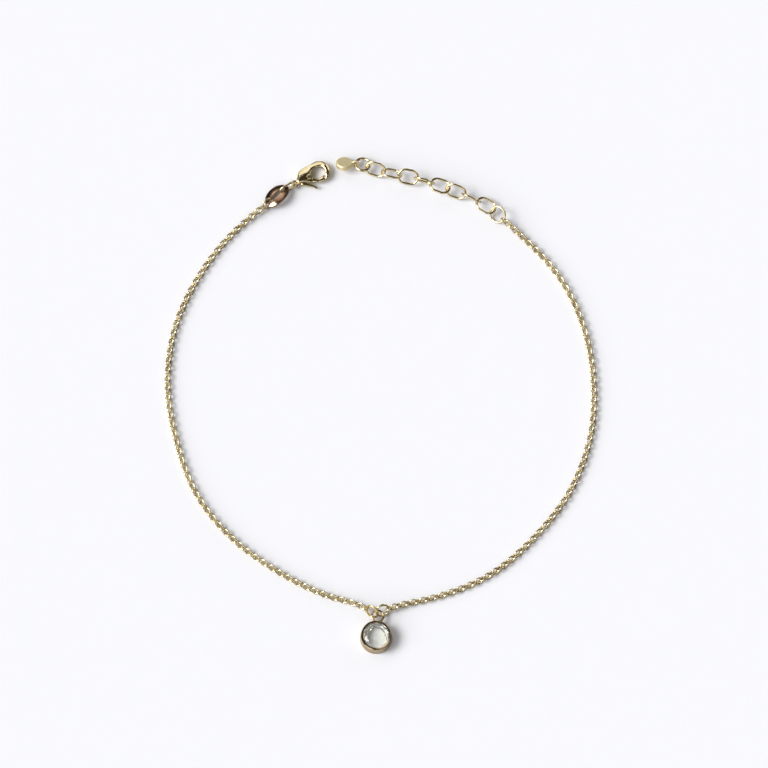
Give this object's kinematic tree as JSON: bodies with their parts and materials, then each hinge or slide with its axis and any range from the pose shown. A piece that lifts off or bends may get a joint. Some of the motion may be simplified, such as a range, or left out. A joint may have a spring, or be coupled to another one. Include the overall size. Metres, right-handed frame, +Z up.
{
  "type": "charm anklet",
  "caption": "Fine cable-chain anklet lying open, with a round bezel-set stone pendant, lobster clasp, slotted tag plate and extension chain ending in a disc.",
  "frame": {"origin": "on the surface that the anklet lies on, under the middle of its bounding box", "axes": "+Z up from the surface, +Y from the pendant towards the clasp, +X to the right as seen from above with the pendant nearest"},
  "size_m": [0.0864, 0.1026, 0.0036],
  "materials": {
    "polished_gold": "polished pale yellow gold plate",
    "satin_gold": "satin pale gold plate",
    "clear_stone": "clear cut stone, polished facets"
  },
  "bodies": {
    "anklet": {"chain_left": "polished_gold", "chain_right": "polished_gold", "clasp_body": "polished_gold", "end_disc": "satin_gold", "end_ring": "polished_gold", "extender_link_1": "polished_gold", "extender_link_2": "polished_gold", "extender_link_3": "polished_gold", "extender_link_4": "polished_gold", "extender_link_5": "polished_gold", "extender_link_6": "polished_gold", "extender_link_7": "polished_gold", "extender_link_8": "polished_gold", "left_ring": "polished_gold", "pendant_bezel": "polished_gold", "pendant_ring_left": "polished_gold", "pendant_ring_right": "polished_gold", "pendant_stone": "clear_stone", "plate_link": "polished_gold", "right_ring": "polished_gold", "tag_plate": "polished_gold"},
    "lever": {"clasp_lever": "polished_gold"}
  },
  "joints": [
    {"name": "clasp_lever_hinge", "type": "hinge", "parent": "anklet", "child": "lever", "pos_m": [-0.01514, 0.04646, 0.00095], "axis": [0, 0, 1], "range_deg": [0, 20], "stiffness_Nm_per_rad": 0.01}
  ]
}
